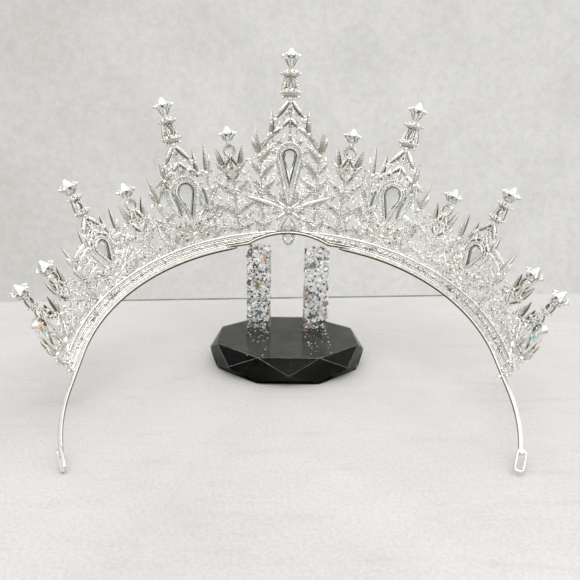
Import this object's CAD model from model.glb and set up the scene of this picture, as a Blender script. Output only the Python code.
"""Crystal tiara on a two-post stand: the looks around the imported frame."""
from math import asin, atan, atan2, cos, degrees, pi, radians, sin, tan

import bmesh
import bpy
import numpy as np
from mathutils import Matrix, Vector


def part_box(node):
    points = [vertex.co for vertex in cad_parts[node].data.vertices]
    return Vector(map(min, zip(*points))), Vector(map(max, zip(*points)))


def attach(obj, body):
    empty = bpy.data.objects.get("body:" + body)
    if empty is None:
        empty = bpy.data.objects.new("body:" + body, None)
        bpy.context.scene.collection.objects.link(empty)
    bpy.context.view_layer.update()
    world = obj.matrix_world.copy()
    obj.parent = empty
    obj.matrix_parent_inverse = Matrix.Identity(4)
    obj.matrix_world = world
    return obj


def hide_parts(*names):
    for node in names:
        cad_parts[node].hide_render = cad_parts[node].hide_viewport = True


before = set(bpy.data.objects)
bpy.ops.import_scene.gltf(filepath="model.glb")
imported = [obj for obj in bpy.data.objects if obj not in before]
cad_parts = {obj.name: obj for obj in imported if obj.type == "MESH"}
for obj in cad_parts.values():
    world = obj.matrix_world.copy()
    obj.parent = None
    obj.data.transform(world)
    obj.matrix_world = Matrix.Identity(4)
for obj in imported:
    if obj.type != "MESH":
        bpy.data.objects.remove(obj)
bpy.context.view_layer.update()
rng = np.random.default_rng(11)

# Sizes shared with the CAD source, in millimetres
ARCH_R, ARCH_C, LEAN, FLARE = 75.5, 49.4, radians(23.9), radians(27.2)
LEG_LINE_Y, ARCH_LIFT, RIM_TAIL = -101.2, 1.25, 9.2
RIM_H, RAIL_H, RAIL_FRONT, RAIL_BACK, WEB_FRONT = 5.4, 1.3, 1.75, 1.0, 0.7
WIRE_W, WIRE_T, LEG_END_X, TOE_IN_AT = 1.5, 1.3, 67.0, 32.0
EYELET_L, EYELET_W = 9.5, 3.4
PLATE_T, STEM_W, LEAF_W, BEZEL_T, BEZEL_WALL = 1.4, 1.3, 2.8, 2.6, 0.9
RIM_STONE_D, RIM_STONE_STEP, RIM_STONE_FIRST, ACCENT_D = 2.5, 3.7, 13.6, 1.9
FOOT_V, FRAME_GAP, LEG_X, STRIP_FROM = RIM_H - RAIL_H + 0.4, 2.4, ARCH_R - 1.15, 18.0
TOE_ANGLE = 2 * atan((LEG_X - LEG_END_X) / TOE_IN_AT)
TOE_R = TOE_IN_AT / sin(TOE_ANGLE)

# azimuth, height, crest scale, drop point, drop length, drop width, sunburst height, outer vine top
SPIRES = [
    (0, 84.5, 1, 25.5, 16, 6, 14.5, 40),
    (16.4, 52.5, 0.9, 0, 0, 0, 0, 35),
    (30.8, 67.8, 0.92, 17, 14.5, 7.2, 8.5, 26),
    (47.1, 39, 0.8, 0, 0, 0, 0, 22.5),
    (60.8, 49.5, 0.72, 14, 9.5, 5.2, 7.5, 20),
    (79.3, 32, 0.65, 0, 0, 0, 0, 15),
    (90, 34.2, 0.5, 0, 0, 0, 7, 10),
]
AZIMUTH, HEIGHT, SCALE, DROP_V, DROP_L, DROP_W, SUN_V, VINE_V = [list(c) for c in zip(*SPIRES)]
LAST = len(SPIRES) - 1
# leaves of the crests: from x, y to x, y with y from the tip, and width
CREST = [(2.1, -12, 2.9, -20.5, 1.6), (0.3, -21.5, 6.8, -30.5, 2.4), (6.2, -29.8, 8.4, -30.8, 1.8),
         (8.2, -38, 8.2, -25.5, 3), (0, -29.4, 4.2, -34.2, 2), (3.9, -33.6, 8.6, -36.6, 2)]
SHORT_CREST = [(0.2, -13, 4.2, -21, 2.2), (3.6, -22, 6.8, -9.5, 2.8), (3.8, -20.6, 0, -27, 2)]
# angle and length
RAYS = [(27, 9), (51, 14.5), (76, 11.5), (101, 8.5)]
# height of the foot, reach and rise
STEM_LEAVES = [(6.6, 8, 3), (13.5, 9, 6.5), (22, 8, 8), (30, 7, 7.5)]
# share of the edge and of the height at the foot, the same at the tip, and width
SPRIGS = [(1, 0.34, 0.45, 0.5, 3.1), (1, 0.48, 0.5, 0.64, 3.1), (1, 0.62, 0.52, 0.8, 3.1),
          (0.95, 0.78, 0.25, 0.93, 2.5)]
# x, y, length, width, angle
WINGS = [(-7.4, 22.5, 10.5, 2.4, 3), (6.5, 25.6, 15.5, 2.8, -15)]
END_PEAR = (8, 11.5, 10.5, 4.2, 24)
PENDANT_V, PENDANT_W, PENDANT_H = 3.6, 4.4, 8.4
BASE_D, GIRDLE_D, GIRDLE_AT = 66.0, 70.4, 0.46
# circle in the middle plate along which the band's lower edge rises
EDGE_R, EDGE_SUNK = 36, 32


def tall(i):
    return i % 2 == 0


def roof_v(i):
    """Height of the stem's end above a drop."""
    return HEIGHT[i] - 30 * SCALE[i]


def half_out(i):
    """Half the angle from a spire to the next one outwards."""
    return radians(AZIMUTH[i + 1] - AZIMUTH[i]) / 2


def half_angle(i, side):
    """Half the angle to the neighbour on a side; 1 is outwards."""
    return half_out(i) if side > 0 or i == 0 else half_out(i - 1)


def vine_top(i, side):
    """Height of the stem on the edge of a plate."""
    return VINE_V[i] if side > 0 or i == 0 else VINE_V[i - 1]


def ray_scale(i):
    return 0.4 + 0.6 * SCALE[i]


def crystal_r(i):
    return 1.75 + 1.15 * SCALE[i]


def edge_x(i, side, v):
    """Where the plate of spire i meets its neighbour at height v."""
    if i == LAST and side > 0:
        return RIM_TAIL - 0.8
    return side * tan(half_angle(i, side)) * (ARCH_R + v * sin(FLARE))


def navette_spec(i):
    """Height, length and width of the pointed stone of a tall spire."""
    return HEIGHT[i] - 15.6 * SCALE[i], 5.2 * SCALE[i] + 0.2, 1.7 * SCALE[i] + 0.5


def oval_spec(i):
    """Height, width and length of the oval stone of a short spire."""
    return HEIGHT[i] - 11.5 * SCALE[i], 4.2 * SCALE[i] + 0.2, 4.6 * SCALE[i] + 0.2


# Places
def turn(axis, angle):
    """Turn about an axis, in radians, as a 4 x 4 matrix."""
    return np.array(Matrix.Rotation(angle, 4, axis))


def shift(x, y, z):
    m = np.eye(4)
    m[:3, 3] = x, y, z
    return m


MIRROR = np.diag([-1.0, 1, 1, 1])
ON_ARCH = shift(0, LEG_LINE_Y, ARCH_LIFT) @ turn("X", LEAN)


def at_azimuth(a):
    """From a plate's axes (x along the rim, y up the flare, z inwards) to the world's."""
    foot = ON_ARCH @ shift(0, ARCH_C, 0) @ turn("Z", -radians(a)) @ shift(0, ARCH_R, 0)
    return foot @ turn("X", pi / 2 - FLARE)


def at_spire(k):
    return MIRROR @ at_azimuth(AZIMUTH[-k]) if k < 0 else at_azimuth(AZIMUTH[k])


# Meshes
class Soup:
    """Closed shapes in millimetres, with a shade from 0 (crevice) to 1 (ridge) at each point.

    place turns the coordinates of the shapes that are added next into the world's."""

    def __init__(self):
        self.points, self.faces, self.shades, self.count, self.place = [], [], [], 0, np.eye(4)

    def add(self, v, faces, shade=None):
        v = np.asarray(v, float)
        flip = np.linalg.det(self.place[:3, :3]) < 0
        self.points.append(v @ self.place[:3, :3].T + self.place[:3, 3])
        self.shades.append(np.full(len(v), 0.75) if shade is None else np.asarray(shade, float))
        self.faces += [tuple(self.count + j for j in (f[::-1] if flip else f)) for f in faces]
        self.count += len(v)

    def piece(self, name, material, slot, node, flat=False):
        """Makes the mesh as an object that replaces a node of the frame."""
        mesh = bpy.data.meshes.new(name)
        mesh.from_pydata((np.concatenate(self.points) / 1000).tolist(), [], self.faces)
        bm = bmesh.new()
        bm.from_mesh(mesh)
        bmesh.ops.recalc_face_normals(bm, faces=bm.faces)
        bm.to_mesh(mesh)
        bm.free()
        shade = np.concatenate(self.shades).astype(np.float32)
        mesh.attributes.new("shade", "FLOAT", "POINT").data.foreach_set("value", shade)
        if flat:
            mesh.shade_flat()
        else:
            mesh.shade_smooth()
            mesh.set_sharp_from_angle(angle=radians(40))
        return declared(new_object(name, mesh, material), node)


def new_object(name, data, material=None):
    if material:
        data.materials.append(material)
    obj = bpy.data.objects.new(name, data)
    bpy.context.scene.collection.objects.link(obj)
    return obj


def declared(obj, node):
    """An object of the one body, that stands in for a node."""
    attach(obj, "root")
    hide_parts(node)
    return obj


def loft(rings, closed=True):
    """Faces of n equal rings of m points one after another, closed to a loop or with flat ends."""
    n, m = rings
    faces = []
    for i in range(n - (0 if closed else 1)):
        a, b = i * m, ((i + 1) % n) * m
        faces += [(a + j, a + (j + 1) % m, b + (j + 1) % m, b + j) for j in range(m)]
    if not closed:
        faces += [tuple(range(m))[::-1], tuple((n - 1) * m + j for j in range(m))]
    return faces


def heading(p, q):
    """The way from p to q: its start, length, direction and the direction to its left."""
    p, q = np.asarray(p, float), np.asarray(q, float)
    length = np.hypot(*(q - p))
    d = (q - p) / max(length, 1e-9)
    return p, length, d, np.array([-d[1], d[0]])


# half width of a broad and of a slim leaf along its length, angles round its section, ridge and groove
LEAF_S = np.array([0.0, 0.1, 0.22, 0.36, 0.52, 0.68, 0.83, 0.94, 1.0])
LEAF_A = np.interp(LEAF_S, [0, 0.12, 0.3, 0.6, 0.85, 1], [0.2, 0.33, 0.46, 0.43, 0.2, 0.015])
POD_A = np.interp(LEAF_S, [0, 0.2, 0.42, 0.68, 0.88, 1], [0.24, 0.36, 0.36, 0.23, 0.1, 0.015])
RING = np.radians(np.arange(0, 360, 36.0))
LEAF_RIDGE, LEAF_GROOVE = 0.35, 0.5


def leaf(soup, p, q, w, t=1.35, lift=0.0, shape=LEAF_A, dark=0.0):
    """Cast leaf from p to q in the plate's plane, ridged in front (-z) and grooved behind (+z).

    dark deepens the shade of its flanks, most on the inner one of an upright leaf and the lower of others."""
    p, length, d, side = heading(p, q)
    if length < 0.2:
        return
    inner = np.sign(side[0] * p[0]) if abs(d[1]) > 0.9 else np.sign(side[1])
    c = np.cos(RING)
    mid = np.exp(-(c / 0.45) ** 2)
    flanks = ((0.6 + dark) * (np.abs(c) > 0.9) + 4 * dark * (c * inner < -0.7) + dark * (c * inner > 0.7)
              + dark * (c * side[1] < 0.1))
    rows, shade = [], []
    for s, a in zip(LEAF_S, shape):
        half = max(a * w, 0.05)
        thick = t * (0.42 + 0.2 * sin(pi * min(1, s * 1.1))) * (1 - 0.75 * max(0, s - 0.75) / 0.25)
        z = -thick * np.sin(RING)
        z = np.where(z < 0, z * (1 + LEAF_RIDGE * mid), z * (1 - LEAF_GROOVE * mid)) + lift * s * s
        rows.append(np.column_stack([p + d * s * length + side * (half * c)[:, None], z]))
        shade.append(np.where(z > lift * s * s, 0.95 - 0.85 * mid, 0.55 + 0.45 * mid) - flanks)
    faces = loft((len(LEAF_S), len(RING)), closed=False)
    soup.add(np.concatenate(rows), faces, np.clip(np.concatenate(shade), 0, 1))


def directions(path, closed):
    """Unit direction of a path at each of its points."""
    path = np.asarray(path, float)
    if closed:
        t = np.roll(path, -1, 0) - np.roll(path, 1, 0)
    else:
        t = np.gradient(path, axis=0)
    return t / np.maximum(np.linalg.norm(t, axis=1), 1e-9)[:, None]


def tube(soup, path, r, closed=False, sides=8, up=(0, 0, 1), squash=1.0, shade=None, square=1.0):
    """Rod along a path. r is one radius or one for each point; squash scales it along up."""
    path = np.asarray(path, float)
    if path.shape[1] == 2:
        path = np.column_stack([path, np.zeros(len(path))])
    t = directions(path, closed)
    up = np.asarray(up, float)
    b = np.cross(t, up)
    b /= np.maximum(np.linalg.norm(b, axis=1), 1e-9)[:, None]
    u = np.cross(b, t)
    r = np.broadcast_to(np.asarray(r, float), (len(path),))
    a = (np.arange(sides) + 0.5) * 2 * pi / sides
    ca, sa = np.cos(a), np.sin(a)
    ca, sa = np.sign(ca) * np.abs(ca) ** square, np.sign(sa) * np.abs(sa) ** square
    across, along_up = b[:, None] * ca[None, :, None], squash * u[:, None] * sa[None, :, None]
    rows = path[:, None] + r[:, None, None] * (across + along_up)
    ring = 0.78 - 0.5 * (np.abs(ca) > 0.85) if shade is None else np.broadcast_to(shade, (sides,))
    soup.add(rows.reshape(-1, 3), loft((len(path), sides), closed=closed), np.tile(ring, len(path)))


def lathe(soup, profile, centre=(0, 0, 0), axis="y", sides=16, petals=0, depth=0.0, shade=0.75):
    """Turned shape: profile of (radius, height) along the plate's y or z, with petals cut into its rim."""
    a = np.arange(sides) * 2 * pi / sides
    rows, tones = [], []
    for k, (r, h) in enumerate(profile):
        cut = depth * (0.5 - 0.5 * np.cos(petals * a)) * min(1, r / 2) if petals else np.zeros(sides)
        x, z, up = r * (1 - cut) * np.cos(a), r * (1 - cut) * np.sin(a), np.full(sides, h)
        rows.append(np.column_stack([x, up, z] if axis == "y" else [x, -z, up]) + np.asarray(centre))
        tones.append(np.full(sides, shade[k] if np.ndim(shade) else shade))
    faces = [f[::-1] for f in loft((len(profile), sides), closed=False)]
    soup.add(np.concatenate(rows), faces, np.concatenate(tones))


def ball_mesh(rings, sides):
    turns = [2 * pi * j / sides for j in range(sides)]
    v = [(0, 0, 1.0)]
    for i in range(1, rings):
        t = pi * i / rings
        v += [(sin(t) * cos(u), sin(t) * sin(u), cos(t)) for u in turns]
    v.append((0, 0, -1.0))
    f = [(0, 1 + j, 1 + (j + 1) % sides) for j in range(sides)]
    for i in range(rings - 2):
        a, b = 1 + i * sides, 1 + (i + 1) * sides
        f += [(a + j, b + j, b + (j + 1) % sides, a + (j + 1) % sides) for j in range(sides)]
    a, end = 1 + (rings - 2) * sides, len(v) - 1
    f += [(a + j, end, a + (j + 1) % sides) for j in range(sides)]
    return np.array(v), f


BALL, BALL_F = ball_mesh(5, 8)
GRAIN, GRAIN_F = ball_mesh(3, 6)


def ball(soup, p, r, stretch=(1, 1, 1), fine=True):
    p = np.asarray(list(p) + [0] * (3 - len(p)), float)
    v, f = (BALL, BALL_F) if fine else (GRAIN, GRAIN_F)
    soup.add(v * r * np.asarray(stretch) + p, f, np.full(len(v), 0.9))


# Outlines
def drop_outline(point, length, w, grow=0.0, n=21):
    """Teardrop above its point, of this length and width, or a line that runs round it at a distance."""
    r, c = w / 2 + grow, point + length - w / 2
    s = asin(w / 2 / (length - w / 2))
    arc = np.linspace(-s, pi + s, n)
    head = np.column_stack([r * np.cos(arc), c + r * np.sin(arc)])
    tip = np.array([0, c - r / sin(s)])
    up = [tip + (head[0] - tip) * k / 4 for k in (1, 2, 3)]
    down = [head[-1] + (tip - head[-1]) * k / 4 for k in (1, 2, 3)]
    return np.vstack([[tip], up, head, down])


def drop_of(i, grow=0.0, n=21):
    return drop_outline(DROP_V[i], DROP_L[i], DROP_W[i], grow, n)


def navette_outline(w, h, n=9):
    t = np.linspace(-1, 1, n)
    right = np.column_stack([w / 2 * (1 - t * t), t * h / 2])
    left = np.column_stack([-w / 2 * (1 - t * t), t * h / 2])[::-1]
    return np.vstack([right, left[1:-1]])


def oval_outline(w, h, n=24):
    a = np.arange(n) * 2 * pi / n
    return np.column_stack([w / 2 * np.cos(a), h / 2 * np.sin(a)])


def moved(points, x=0, y=0, angle=0.0):
    """Outline turned about its own origin, then set at x, y."""
    c, s = cos(angle), sin(angle)
    return points @ np.array([[c, s], [-s, c]]) + [x, y]


def outward(points):
    """Outward directions of an outline that runs anticlockwise."""
    t = np.roll(points, -1, 0) - np.roll(points, 1, 0)
    n = np.column_stack([t[:, 1], -t[:, 0]])
    return n / np.maximum(np.linalg.norm(n, axis=1), 1e-9)[:, None]


def setting(soup, inner, wall, depth, claws=8, claw_r=0.42):
    """Stone setting: a wall round the stone with rounded lips, and claws over its front."""
    n = outward(inner)
    d, lip = depth / 2, 0.17
    section = [(0.02, -d * 0.55), (lip, -d), (wall * 0.55, -d * 1.02), (wall * 0.95, -d * 0.75), (wall, 0),
               (wall * 0.95, d * 0.75), (wall * 0.6, d * 1.02), (lip, d), (0.02, d * 0.55)]
    rows = [np.column_stack([inner + n * o, np.full(len(inner), z)]) for o, z in section]
    m, k = len(section), len(inner)
    faces = []
    for i in range(k):
        a, b = i * m, ((i + 1) % k) * m
        faces += [(a + j, b + j, b + (j + 1) % m, a + (j + 1) % m) for j in range(m)]
    shade = np.tile([0.1, 0.5, 1, 0.8, 0.35, 0.8, 1, 0.5, 0.1], k)
    soup.add(np.stack(rows, 1).reshape(-1, 3), faces, shade)
    for j in np.linspace(0, k, claws, endpoint=False).astype(int):
        ball(soup, (*(inner[j] + n[j] * 0.2), -d * 1.02), claw_r, (1, 1, 0.8), fine=False)


# One spire's casting, both sides
def accent_cup(soup, p):
    """Cup of an accent stone, with four claws in front and a dimpled boss behind."""
    r, z, centre = 1.15, PLATE_T / 2, (p[0], p[1], 0)
    lathe(soup, [(0.05, -0.78), (1.25, -0.78), (1.3, -0.3), (1.25, 0.5), (0.05, 0.5)], centre, "z", 12)
    boss = [(r, z - 0.5), (r, z + 0.15), (r * 0.86, z + 0.42), (r * 0.5, z + 0.4), (r * 0.36, z + 0.1),
            (0.05, z + 0.02)]
    lathe(soup, boss, centre, "z", 12, shade=[0.3, 0.6, 1, 0.7, 0.1, 0.05])
    claw_ring(soup, p, ACCENT_D / 2 + 0.12)


def claw_ring(soup, p, r):
    """Four claws in front of the plate, round p."""
    for a in np.radians([45, 135, 225, 315]):
        place = (p[0] + r * cos(a), p[1] + r * sin(a), -PLATE_T / 2 - 0.2)
        ball(soup, place, 0.36, (1, 1, 1.5), fine=False)


def leaflets(soup, p, q, w, count, size, skip=0.15):
    """Pairs of small leaves along a stem from p to q, with a grain at each fork."""
    p, length, d, side = heading(p, q)
    if length < 2:
        return
    for j in range(count):
        fork = p + d * length * (skip + (0.95 - skip) * (j + 0.5) / count)
        for hand in (-1, 1):
            tip = fork + d * size * 0.75 + side * hand * size * rng.uniform(0.65, 0.85)
            leaf(soup, fork, tip, w, 0.9, rng.uniform(-0.4, 0.6))
        ball(soup, fork, 0.42, fine=False)


def way(a):
    """Direction in the plate's plane, a degrees to the right of straight up."""
    return np.array([sin(radians(a)), cos(radians(a))])


def accents(i):
    """Places of the small round stones of a spire."""
    f, h = SCALE[i], HEIGHT[i]
    if i == LAST:
        out = [(0, h - 26 * f), (0, SUN_V[i])]
    elif tall(i):
        out = [(0, h - 26 * f), (6.5 * f, h - 30.6 * f), (-6.5 * f, h - 30.6 * f), (0, SUN_V[i])]
    else:
        out = [(0, h - 20.3 * f), (3.9 * f, h - 19.6 * f), (-3.9 * f, h - 19.6 * f)]
    for side in (-1, 1):
        if DROP_L[i]:
            out += [way(side * a) * 0.62 * l * ray_scale(i) + [0, SUN_V[i]] for a, l in RAYS]
        if not tall(i):
            out += [(side * 0.5 * x, v + 0.5 * rise) for v, x, rise in STEM_LEAVES if v + rise < h - 18.5]
    return out


def stem(soup, p, q):
    """Straight rod of the casting's stem width."""
    p, q = np.asarray(p, float), np.asarray(q, float)
    n = max(3, int(np.hypot(*(q - p)) / 2) + 1)
    tube(soup, p + (q - p) * np.linspace(0, 1, n)[:, None], STEM_W * 0.5, squash=1.05)


def halo(soup, i):
    """Beaded ring round a drop, the arch and wall of its cup, and the sprigs on both sides of it."""
    c, r = DROP_V[i] + DROP_L[i] - DROP_W[i] / 2, DROP_W[i] / 2 + FRAME_GAP
    ring, whole = drop_of(i, FRAME_GAP + 0.5, 33), i != 2
    if not whole:
        a = np.radians(np.linspace(-2, 182, 25))
        ring = np.column_stack([(r + 0.5) * np.cos(a), c + (r + 0.5) * np.sin(a)])
    tube(soup, ring, 0.55, closed=whole, squash=1.25)
    arch = np.radians(np.linspace(-24, 204, 23))
    ra = DROP_W[i] / 2 + 1.55
    tube(soup, np.column_stack([ra * np.cos(arch), c + ra * np.sin(arch)]),
         0.62 * np.sin(np.linspace(0.35, pi - 0.35, 23)) ** 0.4, squash=1.5, shade=1.0)
    wall = drop_of(i, 1.35)
    wall = np.column_stack([wall, np.full(len(wall), 0.3)])
    tube(soup, wall, 0.34, closed=True, sides=6, squash=1.4, shade=0.5)
    for p in ring[ring[:, 1] > c - 6]:
        ball(soup, (*p, 0.55), 0.38, fine=False)
        ball(soup, (*p, -0.6), 0.38, fine=False)
    for a in np.arange(-75, 76, 37.5):
        d, middle = way(-a), np.array([0, c])
        leaf(soup, middle + d * (r - 0.2), middle + d * (r + 4.8 - abs(a) / 60), 2.4, 1.3, 0.5)
        ball(soup, (*(middle + d * (r + 0.6)), 0.4), 0.62)
    for side in (-1, 1):
        for x0, s0, x1, s1, w in SPRIGS if whole else [SPRIGS[0], SPRIGS[3]]:
            v0, v1 = (FOOT_V + (roof_v(i) - FOOT_V) * s for s in (s0, s1))
            p, q = (edge_x(i, side, v0) * x0, v0), (edge_x(i, side, v1) * x1, v1)
            leaf(soup, p, q, w, 1.4, rng.uniform(-0.3, 0.8))
            leaflets(soup, p, q, 1.15, 2, 2.3)
    stem(soup, (0, c + DROP_W[i] / 2), (0, roof_v(i)))


def sunburst(soup, i):
    """Hub with leaves on both sides, small beaded rays between them and stems down to the rim."""
    s, f = SUN_V[i], ray_scale(i)
    middle = np.array([0, s])
    hub = [(1.9, -0.8), (2.1, 0), (1.9, 0.7), (1.2, 1.15), (0.5, 1.0), (0.05, 0.8)]
    lathe(soup, hub, (0, s, 0), "z", 14, 7, 0.16, shade=[0.4, 0.3, 0.8, 1, 0.5, 0.2])
    for side in (-1, 1):
        for a, l in [RAYS[0], RAYS[2]] if i == LAST else RAYS:
            d = way(side * a)
            leaf(soup, middle + d * 0.6, middle + d * f * l, LEAF_W, 1.45, rng.uniform(0, 0.9))
        stem(soup, middle, (side * 3.4, FOOT_V + 0.3))
        for a in (38, 64, 89) if DROP_L[i] else ():
            end = way(side * a) * 7.4 * f
            tube(soup, np.array([middle, end * 0.5 + middle, end + middle]), [0.5, 0.42, 0.3])
            ball(soup, (*(end + middle), 0.1), 0.62)
    stem(soup, middle, (0, DROP_V[i] if DROP_L[i] else HEIGHT[i] - 24 * SCALE[i]))


def vines(soup, i):
    """Stems along both edges of a plate, with the leaves and beads that grow from them."""
    for side in (-1, 1):
        top = vine_top(i, side)
        xt = edge_x(i, side, top)
        foot = (edge_x(i, side, FOOT_V), FOOT_V)
        stem(soup, foot, (xt, top))
        if i < LAST:
            leaf(soup, (edge_x(i, side, 5), 5), (edge_x(i, side, 11) - side * 4.2, 11), LEAF_W, 1.4, 0.6)
        if tall(i):
            pod_tip = (xt + side * 2.4 * SCALE[i], top + 13 * SCALE[i])
            leaf(soup, (xt, top - 2), pod_tip, 2.8, 1.7, -0.2, shape=POD_A, dark=0.19)
            short_tip = (xt + side * 3.6 * SCALE[i], top + 7 * SCALE[i])
            leaf(soup, (xt + side * 1.2, top), short_tip, 2.2, 1.3, 0.3)
            leaf(soup, (side * 8 * SCALE[i], HEIGHT[i] - 35.6 * SCALE[i]), (xt, top - 0.5), 2.1, 1.4)
            leaflets(soup, foot, (xt, top), 1.2, max(1, int(top / 6)), 2.2, 0.1)
            ball(soup, (xt, top - 1.5, 0.2), 1.15)
            claw_ring(soup, (xt, top - 1.5), 0.9)
        else:
            for v in np.arange(14, top - 6 + 1e-6, 8):
                x, tip_x = edge_x(i, side, v), edge_x(i, side, v + 7) - side * 4
                leaf(soup, (x, v), (tip_x, v + 7), LEAF_W, 1.4, 0.5)
                ball(soup, (x, v, 0.4), 0.62)


def crest(soup, table, i, t):
    """Leaves of a table on both sides, scaled for the spire; upright ones are slim pods."""
    f, h = SCALE[i], HEIGHT[i]
    for side in (-1, 1):
        for x0, y0, x1, y1, w in table:
            upright = abs(x1 - x0) < 1 and y1 > y0
            shape, dark, thick = (POD_A, 0.19, t * 1.15) if upright else (LEAF_A, 0.23, t)
            leaf(soup, (side * x0 * f, h + y0 * f), (side * x1 * f, h + y1 * f),
                 w * (0.35 + 0.65 * f) * 1.12, thick, 0.2, shape, dark)


def short_spire(soup, i):
    """Crest, stem and side leaves of a spire without a drop."""
    f, h = SCALE[i], HEIGHT[i]
    crest(soup, SHORT_CREST, i, 1.5)
    stem(soup, (0, FOOT_V), (0, h - 13 * f))
    leaflets(soup, (0, FOOT_V), (0, h - 24 * f), 1.25, max(1, int((h - 24 * f) / 5)), 2.6, 0.05)
    for side in (-1, 1):
        for v, reach, rise in STEM_LEAVES:
            if v < h - 21:
                leaf(soup, (0, v), (side * reach, v + rise), LEAF_W, 1.45, rng.uniform(0.2, 0.9))
                ball(soup, (side * reach, v + rise, 0.2), 0.6)


def spokes(soup, count, first, points, r, shade, sides=8, knobs=()):
    """Rods spread round the stem. Points are (distance from the stem, height), knobs (point, radius)."""
    for j in range(count):
        a = radians(first + 360 / count * j)
        path = [np.array([cos(a), 0, sin(a)]) * out + [0, y, 0] for out, y in points]
        tube(soup, path, r, sides=sides, up=(-sin(a), 0, cos(a)), shade=shade)
        for k, size in knobs:
            ball(soup, path[k], size)


def beads(soup, count, first, out, y, size, stretch=(1, 1, 1)):
    for j in range(count):
        a = radians(first + 360 / count * j)
        ball(soup, (out * cos(a), y, out * sin(a)), size, stretch)


def turnings(soup, i):
    """Claw cup, neck and collars above the openwork."""
    f, h, r = SCALE[i], HEIGHT[i], crystal_r(i)
    top, girdle = h - 1.5 * r, h - 1.15 * r
    drop = min(3.2 * f, 3.2)
    cup = [(0.6, top - drop), (1.0, top - drop * 0.96), (0.85, top - drop * 0.75),
           (1.1 + 0.1 * r, top - drop * 0.4), (0.62 * r, top - 0.25), (0.8 * r, top), (0.72 * r, top + 0.12),
           (0.4 * r, top - 0.2), (0.05, top - 0.3)]
    lathe(soup, cup, petals=4, depth=0.18, shade=[0.2, 0.7, 0.2, 0.6, 0.5, 1, 0.8, 0.1, 0.1])
    # claws up over the girdle of the tip crystal, and petals that open round it
    claw = [(0.5 * r, top - 0.8), (r, girdle - 0.5), (1.12 * r, girdle + 0.2), (0.96 * r, girdle + 0.75)]
    spokes(soup, 4, 45, claw, [0.5, 0.5, 0.48, 0.34], 0.85, knobs=((3, 0.5), (2, 0.56)))
    petal = [(0.6 * r, top - 0.2), (1.08 * r, girdle - 0.5), (1.42 * r, girdle + 0.1),
             (1.66 * r, girdle - 0.15)]
    spokes(soup, 6, 30, petal, [0.45, 0.75, 0.62, 0.14], 1.0)
    foot = h - (11.5 if tall(i) else 8.9) * f
    neck = [(0, top - 0.4, 0), (0, top - 1.6, 0), (0, (top + foot) / 2, 0), (0, foot, 0)]
    tube(soup, neck, [0.95 * r, 0.72 * r, 0.95, 1.0], up=(1, 0, 0), shade=0.7)
    flute = [(0.95 * r, top - 0.4), (0.74 * r, top - 1.6), (0.98, (top + foot) / 2)]
    spokes(soup, 8, 10, flute, 0.14, 0.18, sides=6)
    if tall(i):
        collars(soup, f, h)
    else:
        ball(soup, (0, top - 1.6 * f, 0), 1.5 * f)
        for side in (-1, 1):
            ball(soup, (side * 2.1 * f, h - 14.6 * f, 0.1), 0.8 * f)


def collars(soup, f, h):
    """Two beaded collars of a tall spire with a crown of buds on each, and bowed columns between them."""
    for down, r1, r2, fall in ((10.6, 4.5 * f, 2.6 * f, 1.8 * f), (18.6, 4.8 * f, 2 * f, 2.2 * f)):
        y = h - down * f
        profile = [(0.3, y - 0.1), (0.5 * r1, y - 0.25), (0.86 * r1, y + 0.02), (r1, y + 0.02),
                   (r1, y - 0.35 * f), (0.4 * (r1 + r2), y - 0.8 * fall), (r2 * 0.8, y - fall),
                   (0.3, y - fall)]
        lathe(soup, profile, sides=32, petals=8, depth=0.2, shade=[0.3, 0.3, 0.9, 1, 0.5, 0.15, 0.3, 0.3])
        beads(soup, 8, 0, 0.93 * r1, y + 0.05, 0.62 * f + 0.08)
        beads(soup, 6, 20, 0.5 * r1, y + 0.75 * f, 0.8 * f, (1, 1.25, 1))
    ball(soup, (0, h - 21.4 * f, 0), 1.7 * f)
    tube(soup, [(0, h - 30 * f, 0), (0, h - 28 * f, 0), (0, h - 26 * f, 0)], 0.6)
    along = np.linspace(0, 1, 9)
    flanks = np.abs(np.cos((np.arange(8) + 0.5) * pi / 4)) > 0.85
    bow = 2.2 + 0.9 * np.sin(pi * along * 0.9) + 0.7 * along
    for side in (-1, 1):
        column = np.column_stack([side * bow * f, h - (12 + 8.6 * along) * f])
        tube(soup, column, 0.7 * f * (1.1 - 0.25 * np.sin(pi * along)), shade=np.where(flanks, 0.03, 0.6))
        ball(soup, (side * 3.3 * f, h - 20.6 * f, 0), 0.95 * f)
        ball(soup, (side * 0.32 * f, h - 22.6 * f, 0.6), 0.7 * f)


def seat(soup, outline):
    """Dark ledge that the stone sits on, seen through its edge from behind."""
    tube(soup, outline - outward(outline) * 0.22, 0.27, closed=True, sides=8, squash=3.0, shade=0.14)


def settings(soup, i):
    """Settings of a spire's stones, apart from the accents."""
    if DROP_L[i]:
        outline = drop_of(i)
        seat(soup, outline)
        setting(soup, outline, BEZEL_WALL, BEZEL_T, 10)
    if tall(i):
        v, l, w = navette_spec(i)
        setting(soup, moved(navette_outline(w, l), 0, v), 0.75, BEZEL_T * 0.9, 4, 0.34)
    else:
        v, w, l = oval_spec(i)
        setting(soup, moved(oval_outline(w, l), 0, v), BEZEL_WALL, BEZEL_T)
    if i == 0:
        pendant(soup)
    if i == 2:
        for x, y, l, w, a in WINGS:
            setting(soup, moved(navette_outline(w, l, 15), x, y, radians(a)), 0.7, BEZEL_T * 0.95, 6, 0.36)
    if i == LAST:
        x, y, l, w, a = END_PEAR
        setting(soup, moved(drop_outline(0, l, w), x, y, radians(a)), BEZEL_WALL, BEZEL_T, 9)


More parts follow.
